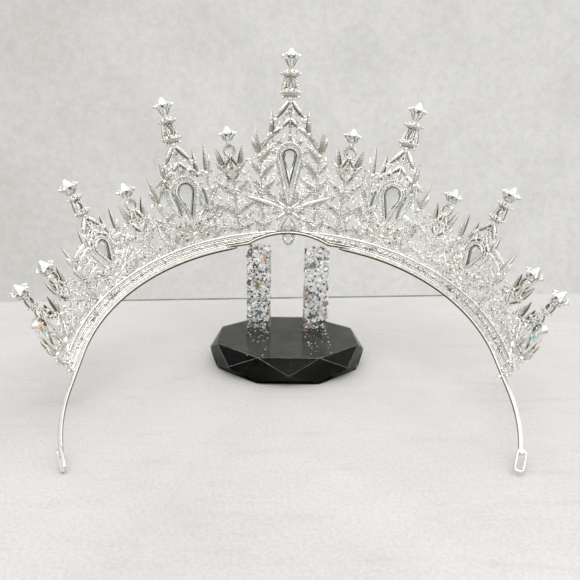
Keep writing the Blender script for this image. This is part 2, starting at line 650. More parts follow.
def pendant(soup):
    """Setting of the middle oval, the beads under it, and two arches over the band on each side."""
    setting(soup, moved(oval_outline(PENDANT_W, PENDANT_H), 0, PENDANT_V), BEZEL_WALL, BEZEL_T, 10)
    for k, p in enumerate(moved(oval_outline(PENDANT_W + 2.9, PENDANT_H + 2.5, 32), 0, PENDANT_V)):
        if p[1] < FOOT_V - 1.5:
            ball(soup, (*p, 0.5), 0.3 if k % 2 else 0.42, fine=False)
    t = np.linspace(0, 1, 12)
    for side in (-1, 1):
        for out, r, shade in ((0, 0.42, 0.35), (1.3, 0.3, 0.75)):
            x = side * (5.4 + out) * np.cos(t * pi / 2) ** 0.8 * (1 - 0.25 * np.sin(pi * t))
            arch = np.column_stack([x, FOOT_V + (7.6 + 1.5 * out) * t ** 0.9, np.full(12, 0.6)])
            tube(soup, arch, r, sides=6, squash=1.3, shade=shade)


# half width of a small leaf along its length, and angles round its section
BIT_S = np.array([0.0, 0.2, 0.45, 0.72, 1.0])
BIT_A = np.array([0.22, 0.42, 0.48, 0.3, 0.04])
BIT_RING = np.radians(np.arange(0, 360, 60.0))


def bit(soup, p, angle, length, w, z=0.0, rise=0.0, curl=0.0):
    """Small leaf of the ground between the large ones, bent sideways by curl and forwards by rise."""
    rows, shade = [], []
    for s, a in zip(BIT_S, BIT_A):
        t = angle + curl * s
        d, n = np.array([sin(t), cos(t)]), np.array([cos(t), -sin(t)])
        c = np.asarray(p) + d * length * s
        x, h = a * w * np.cos(BIT_RING), 0.42 * (1 - 0.6 * s * s) * np.sin(BIT_RING)
        rows.append(np.column_stack([c + n * x[:, None], z + rise * s + h]))
        shade.append(np.where(np.abs(np.cos(BIT_RING)) > 0.9, 0.12, 0.95))
    soup.add(np.concatenate(rows), loft((5, 6), closed=False), np.concatenate(shade))


def ceiling(i, x):
    """Height up to which small leaves fill a plate at x."""
    side = 1 if x >= 0 else -1
    top = vine_top(i, side)
    edge = abs(edge_x(i, side, top))
    f, h = SCALE[i], HEIGHT[i]
    line = [(0, h - 23 * f), (8.3 * f, h - 36 * f), (edge, top + 1)]
    if not tall(i):
        line = [(0, h - 16.5 * f), (5 * f, h - 20 * f), (edge - 2, top + 0.5), (edge, top + 1)]
    return np.interp(abs(x), *zip(*line))


def inside(outline, p):
    """Whether a point is in a closed outline, by the edges that a ray from it crosses."""
    x, y = p
    a, b = outline, np.roll(outline, -1, 0)
    crossing = (b[:, 0] - a[:, 0]) * (y - a[:, 1]) / (b[:, 1] - a[:, 1] + 1e-12) + a[:, 0]
    return (((a[:, 1] > y) != (b[:, 1] > y)) & (x < crossing)).sum() % 2 == 1


def stones_of(i):
    """Outlines that the ground of a spire keeps clear of."""
    if DROP_L[i]:
        yield drop_of(i, FRAME_GAP - 0.6 if i != 2 else 1.1)
    if i == 0:
        yield moved(oval_outline(PENDANT_W + 2.6, PENDANT_H + 2.6), 0, PENDANT_V)
    if i == 2:
        for x, y, l, w, a in WINGS:
            yield moved(navette_outline(w + 2.2, l + 2), x, y, radians(a))
    if i == LAST:
        x, y, l, w, a = END_PEAR
        yield moved(drop_outline(0, l, w, 1.0), x, y, radians(a))
    if not tall(i):
        v, w, l = oval_spec(i)
        yield moved(oval_outline(w + 2, l + 2), 0, v)


# tries to set a small leaf, and how close two may stand low down and above
GROUND_TRIES, LOW_V, GAP_LOW, GAP_HIGH = 2600, 14, 1.6, 2.05


def ground(soup, i):
    """Small leaves, loops and grains that fill the plate between its main leaves."""
    keep_out = list(stones_of(i))
    placed = []
    top = max(ceiling(i, x) for x in (-8, -4, 0, 4, 8))
    for _ in range(GROUND_TRIES):
        v = rng.uniform(FOOT_V + 0.6, top)
        x = rng.uniform(-abs(edge_x(i, -1, v)), abs(edge_x(i, 1, v)))
        if v > ceiling(i, x) or any(inside(o, (x, v)) for o in keep_out):
            continue
        gap = GAP_LOW if v < LOW_V else GAP_HIGH
        if any((x - a) ** 2 + (v - b) ** 2 < gap * gap for a, b in placed):
            continue
        placed.append((x, v))
        lean = (0.75 if x > 0 else -0.75) * (1 - 0.3 * abs(x) / 8)
        angle = (atan2(x, max(v - SUN_V[i], -4) + 5) if tall(i) else lean) + rng.normal(0, 0.45)
        length = rng.uniform(1.8, 3.9)
        end = (x + length * sin(angle), v + length * cos(angle))
        if end[1] > ceiling(i, end[0]) + 1.5 or any(inside(o, end) for o in keep_out):
            length *= 0.5
        kind = rng.uniform()
        z = rng.uniform(-0.8, 0.1)
        if kind < 0.68:
            bit(soup, (x, v), angle, length, rng.uniform(0.85, 1.5), z, rng.uniform(-0.6, 0.9),
                rng.normal(0, 0.5))
            if kind < 0.4:
                fork = angle + rng.choice([-1, 1]) * rng.uniform(0.7, 1.2)
                bit(soup, (x, v), fork, length * 0.8, rng.uniform(0.7, 1.2), z, rng.uniform(-0.5, 0.8))
        elif kind < 0.8:
            r = rng.uniform(0.7, 1.05)
            tube(soup, moved(oval_outline(2 * r, 2 * r, 12), x, v), 0.3, closed=True, sides=6)
            ball(soup, (x, v, z), 0.45, fine=False)
        ball(soup, (x, v, z + 0.25), rng.uniform(0.3, 0.6), fine=False)


def ray_loops(soup, i):
    """Open leaves between the solid rays: a wire bent round each, with grains along it."""
    f, middle = ray_scale(i), np.array([0, SUN_V[i]])
    for side in (-1, 1):
        for a, l, w in ((39, 12.5, 4.0), (64, 14.5, 4.2), (88, 11, 3.6)) if i < LAST else ((40, 10, 3.4),):
            mid = middle + way(side * a) * (2.2 + l * f / 2 + 0.6)
            loop = moved(navette_outline(w * (0.5 + 0.5 * f), l * f), *mid, -side * radians(a))
            tube(soup, loop, 0.36, closed=True, sides=6, squash=1.5)
            for p in loop[::2]:
                ball(soup, (*p, 0.35), 0.4, fine=False)


def spire(k):
    """The casting of spire k; negative spires are the mirrored ones on the left."""
    i, soup = abs(k), Soup()
    soup.place = at_spire(k)
    if tall(i):
        crest(soup, CREST, i, 1.7)
        f, h = SCALE[i], HEIGHT[i]
        for side in (-1, 1):    # arms of the crest carry beads and small leaves
            for x, y, r in ((6.6, -30.4, 1.05), (8.5, -36.6, 1.0), (3.9, -33.9, 0.95), (8.25, -31.5, 0.7)):
                ball(soup, (side * x * f, h + y * f, 0.5), r * f)
            arm = (side * 0.3 * f, h - 21.5 * f), (side * 6.8 * f, h - 30.5 * f)
            leaflets(soup, *arm, 1.0, 2, 1.9, 0.35)
    else:
        short_spire(soup, i)
    if DROP_L[i]:
        halo(soup, i)
    if SUN_V[i]:
        sunburst(soup, i)
        ray_loops(soup, i)
    vines(soup, i)
    ground(soup, i)
    settings(soup, i)
    turnings(soup, i)
    for p in accents(i):
        accent_cup(soup, p)
    return soup.piece(f"openwork_{k + LAST + 1}", SILVER, "silver", "silver_frame")


# Rim, side bands and eyelets
def rim_point(a, tail, v, n):
    """A point of the rim in the arch's axes: azimuth, run past the half circle, height and depth."""
    r = ARCH_R + v * sin(FLARE) - n * cos(FLARE)
    a = radians(a)
    return r * sin(a), ARCH_C + r * cos(a) - tail, v * cos(FLARE) + n * sin(FLARE)


def low_edge(a):
    """Where the band's lower edge lies: it rises in the middle along a circle in the middle plate."""
    def arched(v):
        x, y, z = rim_point(a, 0, v, 0)
        up = sin(FLARE) * (y - ARCH_C - ARCH_R) + cos(FLARE) * z
        return x * x + (up + EDGE_SUNK) ** 2 < EDGE_R ** 2
    if abs(a) > 30 or not arched(0):
        return 0.0
    lo, hi = 0.0, RIM_H
    for _ in range(24):
        mid = (lo + hi) / 2
        lo, hi = (mid, hi) if arched(mid) else (lo, mid)
    return lo


# azimuth and run past the half circle, from the left end of the rim to the right one
STATIONS = ([(-90.0, t) for t in np.linspace(RIM_TAIL, 1.5, 6)]
            + [(a, 0.0) for a in np.arange(-90, 90.1, 1.5)]
            + [(90.0, t) for t in np.linspace(1.5, RIM_TAIL, 6)])


def rail_section(v0, v1, n0, n1, count=14, power=0.55):
    """Rounded box between two heights and two depths; the lower the power, the sharper its corners."""
    a = np.arange(count) * 2 * pi / count
    c, s = np.cos(a), np.sin(a)
    return np.column_stack([(v0 + v1) / 2 + (v1 - v0) / 2 * np.sign(c) * np.abs(c) ** power,
                            (n0 + n1) / 2 + (n1 - n0) / 2 * np.sign(s) * np.abs(s) ** power])


def run_along(soup, section_at, shade):
    """Runs a section, which may change with the azimuth, along the whole rim."""
    rows = [[rim_point(a, tail, v, n) for v, n in section_at(a)] for a, tail in STATIONS]
    faces = loft((len(rows), len(rows[0])), closed=False)
    soup.add(np.array(rows).reshape(-1, 3), faces, np.tile(shade, len(rows)))


def azimuths(step):
    """Places along the half circle of the rim, in degrees."""
    return np.arange(-90, 90.1, step)


def rails(soup):
    """Upper and lower rail, and the web between them."""
    ends = 0.75 + 0.25 * np.cos(np.arange(14) * 4 * pi / 14)

    def upper(a):
        return rail_section(RIM_H - RAIL_H, RIM_H, -RAIL_FRONT, RAIL_BACK)

    def lower(a):
        v = low_edge(a)
        return rail_section(v, v + min(RAIL_H, 0.35 * (RIM_H - v)), -RAIL_FRONT, RAIL_BACK)

    def web(a):
        return rail_section(low_edge(a) + 0.2, RIM_H - 0.2, -WEB_FRONT, RAIL_BACK - 0.3, 8, 0.3)
    run_along(soup, upper, ends)
    run_along(soup, lower, ends)
    run_along(soup, web, np.full(8, 0.35))


def rolled_edge(soup):
    """Rolled edge with a dark line on both sides, where the band is narrow."""
    mid = np.arange(-22, 22.1, 1.0)
    swell = np.clip((22 - np.abs(mid)) / 8, 0, 1)
    for up, r, tone in ((0.6, 0.5, 0.25), (0.05, 0.24, 0.0), (1.15, 0.24, 0.0)):
        path = [rim_point(a, 0, low_edge(a) + up, RAIL_BACK + 0.1) for a in mid]
        tube(soup, path, 0.1 + r * swell, shade=tone)


def rim_claws(soup):
    """Four claws for each round stone of the rim, and the back of its cup."""
    turn_by = degrees(RIM_STONE_STEP / (ARCH_R + RIM_H / 2 * sin(FLARE)))
    places = [(a, 0) for a in np.arange(RIM_STONE_FIRST, 90 + 1e-6, turn_by)]
    places += [(90, x) for x in np.arange(RIM_STONE_STEP, RIM_TAIL - RIM_STONE_D / 2, RIM_STONE_STEP)]
    for hand in (np.eye(4), MIRROR):
        for a, x in places:
            soup.place = hand @ at_azimuth(a) @ shift(x, 0, 0)
            for dx in (-1, 1):
                for dy in (-1, 1):
                    ball(soup, (dx, RIM_H / 2 + dy, -WEB_FRONT - 0.45), 0.36, (1, 1, 1.6), fine=False)
            back = (0, RIM_H / 2 + rng.uniform(-0.5, 0.5), RAIL_BACK - 0.32)
            ball(soup, back, rng.uniform(0.3, 0.5), (1, 1, 0.5))
    soup.place = ON_ARCH


def web_span(a, inset):
    """Height at which the web starts at an azimuth, and its width, inset by a share of the rails."""
    low = low_edge(a) + RAIL_H * inset
    return low, RIM_H - RAIL_H * inset - low


def threads(soup):
    """Fine threads along the inside of the band, and small leaves over them, denser on the right."""
    for share, r, tone in ((0.12, 0.26, 0.9), (0.36, 0.18, 0.35), (0.62, 0.26, 0.9), (0.88, 0.18, 0.35)):
        path = []
        for a, tail in STATIONS:
            low, width = web_span(a, 0.9)
            path.append(rim_point(a, tail, low + width * share, RAIL_BACK - 0.22))
        tube(soup, path, r, sides=6, shade=tone)
    for a in azimuths(0.62):
        low, width = web_span(a, 0.8)
        if width < 1 or rng.uniform() > (0.85 if a > 0 else 0.3):
            continue
        bends = ((0, rng.uniform(0, 0.4), -0.2), (rng.uniform(-0.5, 0.5), 0.5, rng.uniform(0, 0.25)),
                 (rng.uniform(-1.1, 1.1), rng.uniform(0.6, 1), -0.2))
        path = [rim_point(a + da, 0, low + width * s, RAIL_BACK + dn) for da, s, dn in bends]
        tube(soup, path, [0.2, rng.uniform(0.28, 0.45), 0.16], sides=6, shade=rng.choice([0.15, 0.5, 0.95]))


def grains(soup):
    """Grains between the leaves, specks of casting along the lower edge, and clusters where the band ends."""
    def grain(a, tail, v, n, r):
        ball(soup, rim_point(a, tail, v, n), r, fine=False)
    for a in azimuths(0.5):
        low, width = web_span(a, 1)
        if width > 0.8:
            grain(a, 0, low + width * rng.uniform(0.1, 0.9), RAIL_BACK - 0.12, rng.uniform(0.18, 0.4))
        if rng.uniform() < 0.45:
            grain(a, 0, low_edge(a) + rng.uniform(-0.1, 0.25), rng.uniform(0.2, 1.0), rng.uniform(0.2, 0.42))
    for a in (-90, 90):
        for _ in range(26):
            grain(a, RIM_TAIL - rng.uniform(-0.5, 4.5), rng.uniform(0.3, RIM_H - 0.2),
                  rng.uniform(-0.4, RAIL_BACK + 0.5), rng.uniform(0.35, 0.75))
    for a in azimuths(0.72):    # beaded edges
        grain(a, 0, RIM_H - 0.15, -RAIL_FRONT + 0.25, 0.36)
        if abs(a) > 16:
            grain(a, 0, 0.3, -RAIL_FRONT + 0.25, 0.34)


def rim():
    """The band that all spires stand on."""
    soup = Soup()
    soup.place = ON_ARCH
    rails(soup)
    rolled_edge(soup)
    rim_claws(soup)
    threads(soup)
    grains(soup)
    soup.piece("rim_band", SILVER, "silver", "silver_frame")


def long_leaf(soup, a0, v0, a1, v1, w, rise=0.75):
    """Long leaf over the inner face from one azimuth and height to another."""
    t = np.linspace(0, 1, 17)
    def line(n):
        return np.array([rim_point(a0 + (a1 - a0) * s, 0, v0 + (v1 - v0) * s, n) for s in t])
    mids = line(rise)
    outs = line(rise + 1) - mids
    sides = np.cross(directions(mids, False), outs)
    half = w / 2 * np.interp(t, [0, 0.12, 0.4, 0.8, 1], [0.3, 0.75, 1, 0.7, 0.08])
    c, z = np.cos(RING), np.sin(RING)
    mid = np.exp(-(c / 0.4) ** 2)
    across = sides[:, None] * (half[:, None, None] * c[None, :, None])
    rows = mids[:, None] + across + outs[:, None] * ((0.42 + 0.25 * mid) * z)[None, :, None]
    shade = np.tile(np.where(z > 0, 0.6 + 0.4 * mid, 0.5) - 0.75 * (np.abs(c) > 0.9), len(t))
    soup.add(rows.reshape(-1, 3), loft((len(t), len(RING)), closed=False), np.clip(shade, 0, 1))


def dashes(soup, a0, v0, a1, v1, gap):
    """Two rows of small spindles over the inner face from one azimuth and height to another."""
    run = np.array([radians(a1 - a0) * (ARCH_R + v0 * sin(FLARE)), v1 - v0])
    length = np.hypot(*run)
    count = int(length / 1.5)
    for row in (-0.5, 0.5):
        off_v, off_a = row * gap * run[0] / length, -degrees(row * gap * run[1] / length / ARCH_R)
        for j in range(count):
            if rng.uniform() < 0.12:
                continue
            first, last = (j + rng.uniform(0.0, 0.3)) / count, (j + rng.uniform(0.8, 1.1)) / count
            path = []
            for s in (first, (first + last) / 2, last):
                a, v = a0 + (a1 - a0) * s + off_a, v0 + (v1 - v0) * s + off_v
                path.append(rim_point(a, 0, v, rng.uniform(0.55, 0.95)))
            tube(soup, path, [0.12, rng.uniform(0.24, 0.38), 0.1], sides=6, shade=rng.choice([0.2, 0.8, 1.0]))


def lattice():
    """Spindles from the sunbursts to the short spires on both sides, and wide rays of the middle one."""
    soup = Soup()
    soup.place = ON_ARCH
    sun = SUN_V[0]
    for hand in (-1, 1):
        for i in range(1, LAST, 2):
            for j in (i - 1, i + 1):
                if j < LAST:
                    step = AZIMUTH[i] - AZIMUTH[j]
                    dashes(soup, hand * (AZIMUTH[j] + step * 0.1), SUN_V[j] + 1,
                           hand * (AZIMUTH[i] - step * 0.04), HEIGHT[i] - 19 * SCALE[i], 1.5)
        long_leaf(soup, hand * 0.8, sun + 0.4, hand * 14.5, sun + 8, 2.2, 0.5)
        dashes(soup, hand * 9.0, sun + 5.5, hand * 19.5, sun + 12, 1.3)
        dashes(soup, hand * 1.5, sun, hand * 12.0, sun + 1.6, 1.2)
        dashes(soup, hand * 1.2, sun - 1, hand * 9.0, sun - 6, 1.1)
        long_leaf(soup, hand * 0.6, sun - 0.6, hand * 4.4, sun - 4.2, 1.7, 0.8)
        long_leaf(soup, hand * 0.6, sun + 0.6, hand * 4.0, sun + 4.6, 1.7, 0.8)
    soup.piece("lattice", SILVER, "silver", "silver_frame")


def side_bands():
    """Smooth wire inside the rim that runs down into both legs, with an open eyelet at each end."""
    soup = Soup()
    path = [(LEG_X * sin(a), ARCH_C + LEG_X * cos(a), 0) for a in np.radians(np.linspace(STRIP_FROM, 90, 60))]
    path += [(LEG_X, y, 0) for y in np.linspace(ARCH_C, TOE_IN_AT, 8)[1:]]
    path += [(LEG_X - TOE_R + TOE_R * cos(t), TOE_IN_AT + TOE_R * sin(t), 0)
             for t in np.linspace(0, -TOE_ANGLE * 0.78, 14)[1:]]
    width = np.full(len(path), WIRE_W / 2)
    width[:3] = WIRE_W / 2 * np.array([0.45, 0.8, 1])
    flank = np.abs(np.cos((np.arange(12) + 0.5) * pi / 6))
    shade = np.interp(flank, [0.26, 0.71, 0.97], [0.34, 0.2, 0.05])
    for hand, twist in ((np.eye(4), 0.0), (MIRROR, radians(65))):
        soup.place = hand @ ON_ARCH
        tube(soup, path, width, sides=12, squash=WIRE_T / WIRE_W, square=0.6, shade=shade)
        place = ON_ARCH @ shift(LEG_END_X, 0, 0) @ turn("Z", -TOE_ANGLE) @ turn("Y", twist)
        soup.place = hand @ place
        eyelet(soup)
        soup.place = hand @ ON_ARCH
        top = (np.linalg.inv(ON_ARCH) @ place @ np.array([0.3, EYELET_L - 0.45, 0, 1]))[:3]
        link = [path[-1], (np.array(path[-1]) + top) / 2, top]
        tube(soup, link, [WIRE_W / 2, 0.68, 0.55], sides=12, squash=0.9)
        for a in np.radians([STRIP_FROM + 4, 40, 62, 84]):
            ball(soup, ((LEG_X + 0.5) * sin(a), ARCH_C + (LEG_X + 0.5) * cos(a), 0.4), 0.7, (1, 1, 0.7))
    soup.place = ON_ARCH
    ball(soup, (LEG_X - 1.6, ARCH_C - RIM_TAIL - 0.6, 0.3), 0.95)
    soup.piece("side_bands", WIRE, "silver", "silver_frame")


def eyelet(soup):
    """Long loop bent from the leg's end, open at its upper left."""
    half, r = EYELET_W / 2 - 0.45, 0.5

    def arc(y, *angles):
        return [(half * cos(a), y + half * sin(a), 0) for a in np.radians(angles)]
    top = EYELET_L - EYELET_W / 2
    path = arc(top, 68, 45, 20, 0) + arc(EYELET_W / 2, *np.linspace(0, -180, 11))
    path += arc(top, *np.linspace(180, 52, 8))
    tube(soup, path, r, sides=10, squash=WIRE_T / 2 / r * 0.92)
    ball(soup, path[-1], r, (1, 1, 1.2))


# Stand
BOX_FACES = [(0, 3, 2, 1), (4, 5, 6, 7), (0, 1, 5, 4), (1, 2, 6, 5), (2, 3, 7, 6), (3, 0, 4, 7)]


def box_corners(lo, hi):
    outline = ((lo[0], lo[1]), (hi[0], lo[1]), (hi[0], hi[1]), (lo[0], hi[1]))
    return [(x, y, z) for z in (lo[2], hi[2]) for x, y in outline]


def bevel(obj, width):
    mod = obj.modifiers.new("edges", "BEVEL")
    mod.width, mod.segments, mod.limit_method, mod.angle_limit = width, 2, "ANGLE", radians(25)


# round spots on the posts' front faces: share across, share up, tint
SPOTS_LEFT = [(0.13, 0.9, (0.07, 0.08, 0.11)), (0.7, 0.88, (0.72, 0.36, 0.24)),
              (0.46, 0.55, (0.3, 0.22, 0.1)), (0.56, 0.2, (0.12, 0.19, 0.26))]
SPOTS_RIGHT = [(0.3, 0.78, (0.27, 0.23, 0.13)), (0.13, 0.42, (0.42, 0.3, 0.22)),
               (0.86, 0.32, (0.36, 0.24, 0.2)), (0.38, 0.17, (0.1, 0.12, 0.18)),
               (0.25, 0.04, (0.5, 0.3, 0.24))]
# tints of the flakes, and their odds on a post, near its foot and in the base's top
TINTS = np.array([(0.95, 0.95, 0.94), (1.0, 1.0, 0.99), (0.68, 0.69, 0.71), (0.015, 0.015, 0.02),
                  (0.14, 0.15, 0.17), (0.6, 0.48, 0.38)])
ODDS = (0.36, 0.32, 0.05, 0.19, 0.05, 0.03)
ODDS_LOW = (0.13, 0.13, 0.03, 0.58, 0.1, 0.03)
ODDS_BASE = (0.3, 0.2, 0.15, 0.1, 0.15, 0.1)
# faces of a post: the axis that the face is across, the two axes in it, and which end
POST_FACES = [(0, 1, 2, -1), (0, 1, 2, 1), (1, 0, 2, -1), (1, 0, 2, 1), (2, 0, 1, 1)]
# flakes per square mm of a post's side and top, and the number of flecks in the base in front of it
FLAKES_SIDE, FLAKES_TOP, FLECKS_IN_BASE = 3.6, 0.8, 90
# how far the clear top of a post reaches down, and its dark foot up
CLEAR_TOP, DARK_FOOT = 2.6, 4


class Flakes:
    """Small six-sided flakes, each with its own tint and tilt."""

    def __init__(self):
        self.verts, self.faces, self.tints = [], [], []

    def add(self, centre, u, v, size, tint, flat=0.0):
        n = np.cross(u, v)
        tilt = rng.normal(0, 0.33 * (1 - flat), 2)
        a, b = u + n * tilt[0], v + n * tilt[1]
        first = len(self.verts)
        for h in np.radians(np.arange(0, 360, 60)) + rng.uniform(0, pi):
            self.verts.append(centre + size * (a * cos(h) + b * sin(h)))
        self.faces.append(tuple(range(first, first + 6)))
        self.tints += [tint] * 6

    def piece(self, name, node):
        mesh = bpy.data.meshes.new(name)
        mesh.from_pydata((np.array(self.verts) / 1000).tolist(), [], self.faces)
        colour = np.column_stack([np.clip(self.tints, 0, 1), np.ones(len(self.tints))]).astype(np.float32)
        mesh.attributes.new("tint", "FLOAT_COLOR", "POINT").data.foreach_set("color", colour.ravel())
        declared(new_object(name, mesh, GLITTER), node)


def glitter_in(lo, hi):
    """Glitter under a post's faces, darker near its foot, and in the base's clear top in front of it."""
    flakes, axes = Flakes(), np.eye(3)
    for w, a, b, end in POST_FACES:
        area = (hi[a] - lo[a]) * (hi[b] - lo[b])
        for _ in range(int(area * (FLAKES_SIDE if w != 2 else FLAKES_TOP))):
            size = rng.choice([0.25, 0.4, 0.62, 0.9], p=[0.25, 0.35, 0.25, 0.15])
            c = np.zeros(3)
            c[a], c[b] = rng.uniform(lo[a] + 0.85, hi[a] - 0.85), rng.uniform(lo[b] + 0.5, hi[b] - 0.5)
            depth = rng.uniform(0.7, 1.5)
            c[w] = hi[w] - depth if end > 0 else lo[w] + depth
            if c[2] > hi[2] - CLEAR_TOP and rng.uniform() > 0.22 * (w != 2) + 0.05:
                continue
            tint = TINTS[rng.choice(6, p=ODDS_LOW if c[2] < lo[2] + DARK_FOOT else ODDS)]
            if tint[0] < 0.3:
                size = min(size, 0.6)
            flakes.add(c, axes[a], axes[b], size, tint * rng.uniform(0.9, 1.0))
    front = -BASE_D / 2 * cos(pi / 8)
    for _ in range(FLECKS_IN_BASE):
        c = np.array([rng.uniform(lo[0] + 0.6, hi[0] - 0.6),
                      lo[1] - 0.3 - (lo[1] - front - 3) * rng.uniform() ** 2.2, lo[2] - 0.09])
        tint = TINTS[rng.choice(6, p=ODDS_BASE)]
        flakes.add(c, axes[0], axes[1], rng.choice([0.2, 0.3, 0.45]), tint * rng.uniform(0.3, 1.0), 0.95)
    return flakes


def spots_in(flakes, lo, hi):
    """Larger round spots, each a cluster of flakes: placed in front, by chance on the other faces."""
    seen = SPOTS_LEFT if lo[0] < 0 else SPOTS_RIGHT
    for w, a, b, end in POST_FACES[:4]:
        u, v = np.eye(3)[a], np.eye(3)[b]
        spots = seen
        if (w, end) != (1, -1):
            spots = [(rng.uniform(0.2, 0.8), 0.1 + 0.19 * j + rng.uniform(0, 0.08), seen[j % len(seen)][2])
                     for j in range(5)]
        for across, high, tint in spots:
            c = np.zeros(3)
            c[a], c[2] = lo[a] + (hi[a] - lo[a]) * across, lo[2] + (hi[2] - lo[2]) * high
            c[w] = hi[w] - 0.45 if end > 0 else lo[w] + 0.45
            for _ in range(12):
                spot = c + (u * rng.normal(0, 0.55) + v * rng.normal(0, 0.55))
                flakes.add(spot, u, v, rng.uniform(0.4, 0.8), np.array(tint) * rng.uniform(0.5, 1.4), 0.5)


def post(node, side):
    """Clear resin, a core in it and the glitter between them."""
    lo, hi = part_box(node)
    lo, hi = np.array(lo) * 1000, np.array(hi) * 1000
    shell, core = Soup(), Soup()
    shell.add(box_corners(lo, hi), BOX_FACES)
    bevel(shell.piece(f"post_resin_{side}", RESIN, "glitter_resin", node, flat=True), 0.0004)
    core.add(box_corners(lo + [1.4, 1.4, 0.3], hi - [1.4, 1.4, 3.4]), BOX_FACES)
    bevel(core.piece(f"post_core_{side}", FILL, "glitter_resin", node, flat=True), 0.0006)
    flakes = glitter_in(lo, hi)
    spots_in(flakes, lo, hi)
    flakes.piece(f"post_glitter_{side}", node)


def octagon(d, z, turned=0.0):
    """Eight corners on a circle of diameter d at height z."""
    a = np.radians(22.5 + turned + 45 * np.arange(8))
    return np.column_stack([d / 2 * np.cos(a), d / 2 * np.sin(a), np.full(8, z)])


# shades of the black core's corners: round its top, its girdle and its foot
BLACK_TONES = [0.3, 0.1, 0.4, 0.05, 0.3, 0.0, 0.4, 0.2,
               0.0, 0.6, 0.1, 0.5, 0.0, 0.6, 0.15, 0.5,
               0.1, 0.4, 0.0, 0.2, 0.5, 0.0, 0.3, 0.1]


def base():
    """Cut block: eight-sided faces above and below, and a zigzag of triangles through its girdle."""
    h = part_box("stand_base")[1].z * 1000
    top, mid, low = octagon(BASE_D, h), octagon(GIRDLE_D, h * GIRDLE_AT, 22.5), octagon(BASE_D, 0)
    faces = [tuple(range(8)), tuple(range(16, 24))[::-1]]
    for j in range(8):
        k, p = (j + 1) % 8, (j - 1) % 8
        # corner j of the top sits between girdle corners p and j
        faces += [(j, 8 + j, k), (j, 8 + p, 8 + j), (16 + k, 8 + j, 16 + j), (16 + j, 8 + j, 8 + p)]
    shell = Soup()
    shell.add(np.vstack([top, mid, low]), faces)
    bevel(shell.piece("base_crystal", CLEAR, "black_resin", "stand_base", flat=True), 0.00035)
    edges, under = Soup(), 0.9985
    tube(edges, top * under, 0.12, closed=True, sides=6)
    for j in range(8):
        for a, b in ((top[j], mid[j]), (top[j], mid[j - 1])):
            tube(edges, [a * under, (a + b) / 2, b * under], 0.1, sides=6, up=(0.1, 0.2, 1))
    edges.piece("base_edges", EDGE, "black_resin", "stand_base")
    core = Soup()
    girdle = octagon(GIRDLE_D - 1.8, h * GIRDLE_AT, 22.5)
    corners = np.vstack([octagon(BASE_D - 0.8, h - 0.12), girdle, octagon(BASE_D - 2.4, 0.2)])
    core.add(corners, faces, BLACK_TONES)
    pale_rim = np.vstack([octagon(BASE_D - 1.0, h - 0.3), octagon(BASE_D - 0.8, h - 0.1)])
    core.add(pale_rim, loft((2, 8), closed=False), np.full(16, 1.0))
    bevel(core.piece("base_black", BLACK, "black_resin", "stand_base", flat=True), 0.0003)


# Materials
class Look:
    """Node tree of a material or of the world, and the shader at its end."""

    def __init__(self, owner, shader):
        owner.use_nodes = True
        self.owner, self.tree = owner, owner.node_tree
        self.shader = self.tree.nodes[shader]

    def plug(self, value, socket):
        """Gives an input a value or another node's output."""
        if isinstance(value, bpy.types.NodeSocket):
            self.tree.links.new(value, socket)
        else:
            socket.default_value = value

    def end(self, **inputs):
        """Sets inputs of the shader; an underscore stands for a space."""
        for key, value in inputs.items():
            self.plug(value, self.shader.inputs[key.replace("_", " ")])
        return self.owner

    def node(self, kind, **inputs):
        node = self.tree.nodes.new("ShaderNode" + kind)
        for key, value in inputs.items():
            self.plug(value, node.inputs[key.replace("_", " ")])
        return node

    def coordinate(self, kind="Object"):
        return self.node("TexCoord").outputs[kind]

    def attribute(self, name, output):
        node = self.node("Attribute")
        node.attribute_name = name
        return node.outputs[output]

    def ramp(self, source, *stops):
        """Colours by a value from 0 to 1; each stop is a place and a colour or a grey."""
        node = self.node("ValToRGB", Fac=source)
        elements = node.color_ramp.elements
        while len(elements) < len(stops):
            elements.new(0.5)
        for element, (at, colour) in zip(elements, stops):
            element.position = at
            element.color = (*colour, 1) if np.ndim(colour) else (colour, colour, colour, 1)
        return node.outputs["Color"]

    def noise(self, scale, detail, rough=0.6, vector=None):
        vector = self.coordinate() if vector is None else vector
        node = self.node("TexNoise", Vector=vector, Scale=scale, Detail=detail, Roughness=rough)
        return node.outputs["Fac"]

    def cloud(self, scale, detail, *stops, **how):
        """Colours of the stops spread by noise."""
        return self.ramp(self.noise(scale, detail, **how), *stops)

    def mix(self, factor, a, b, kind="MIX"):
        node = self.node("Mix")
        node.data_type, node.blend_type = "RGBA", kind
        for value, k in ((factor, 0), (a, 6), (b, 7)):
            self.plug(value, node.inputs[k])
        return node.outputs[2]

    def product(self, first, *others):
        for other in others:
            first = self.mix(1.0, first, other, "MULTIPLY")
        return first

    def share(self, value, low, high):
        """0 where the value is low, 1 where it is high."""
        return self.node("MapRange", Value=value, From_Min=low, From_Max=high).outputs["Result"]


def surface(name, **inputs):
    look = Look(bpy.data.materials.new(name), "Principled BSDF")
    look.end(**inputs)
    return look


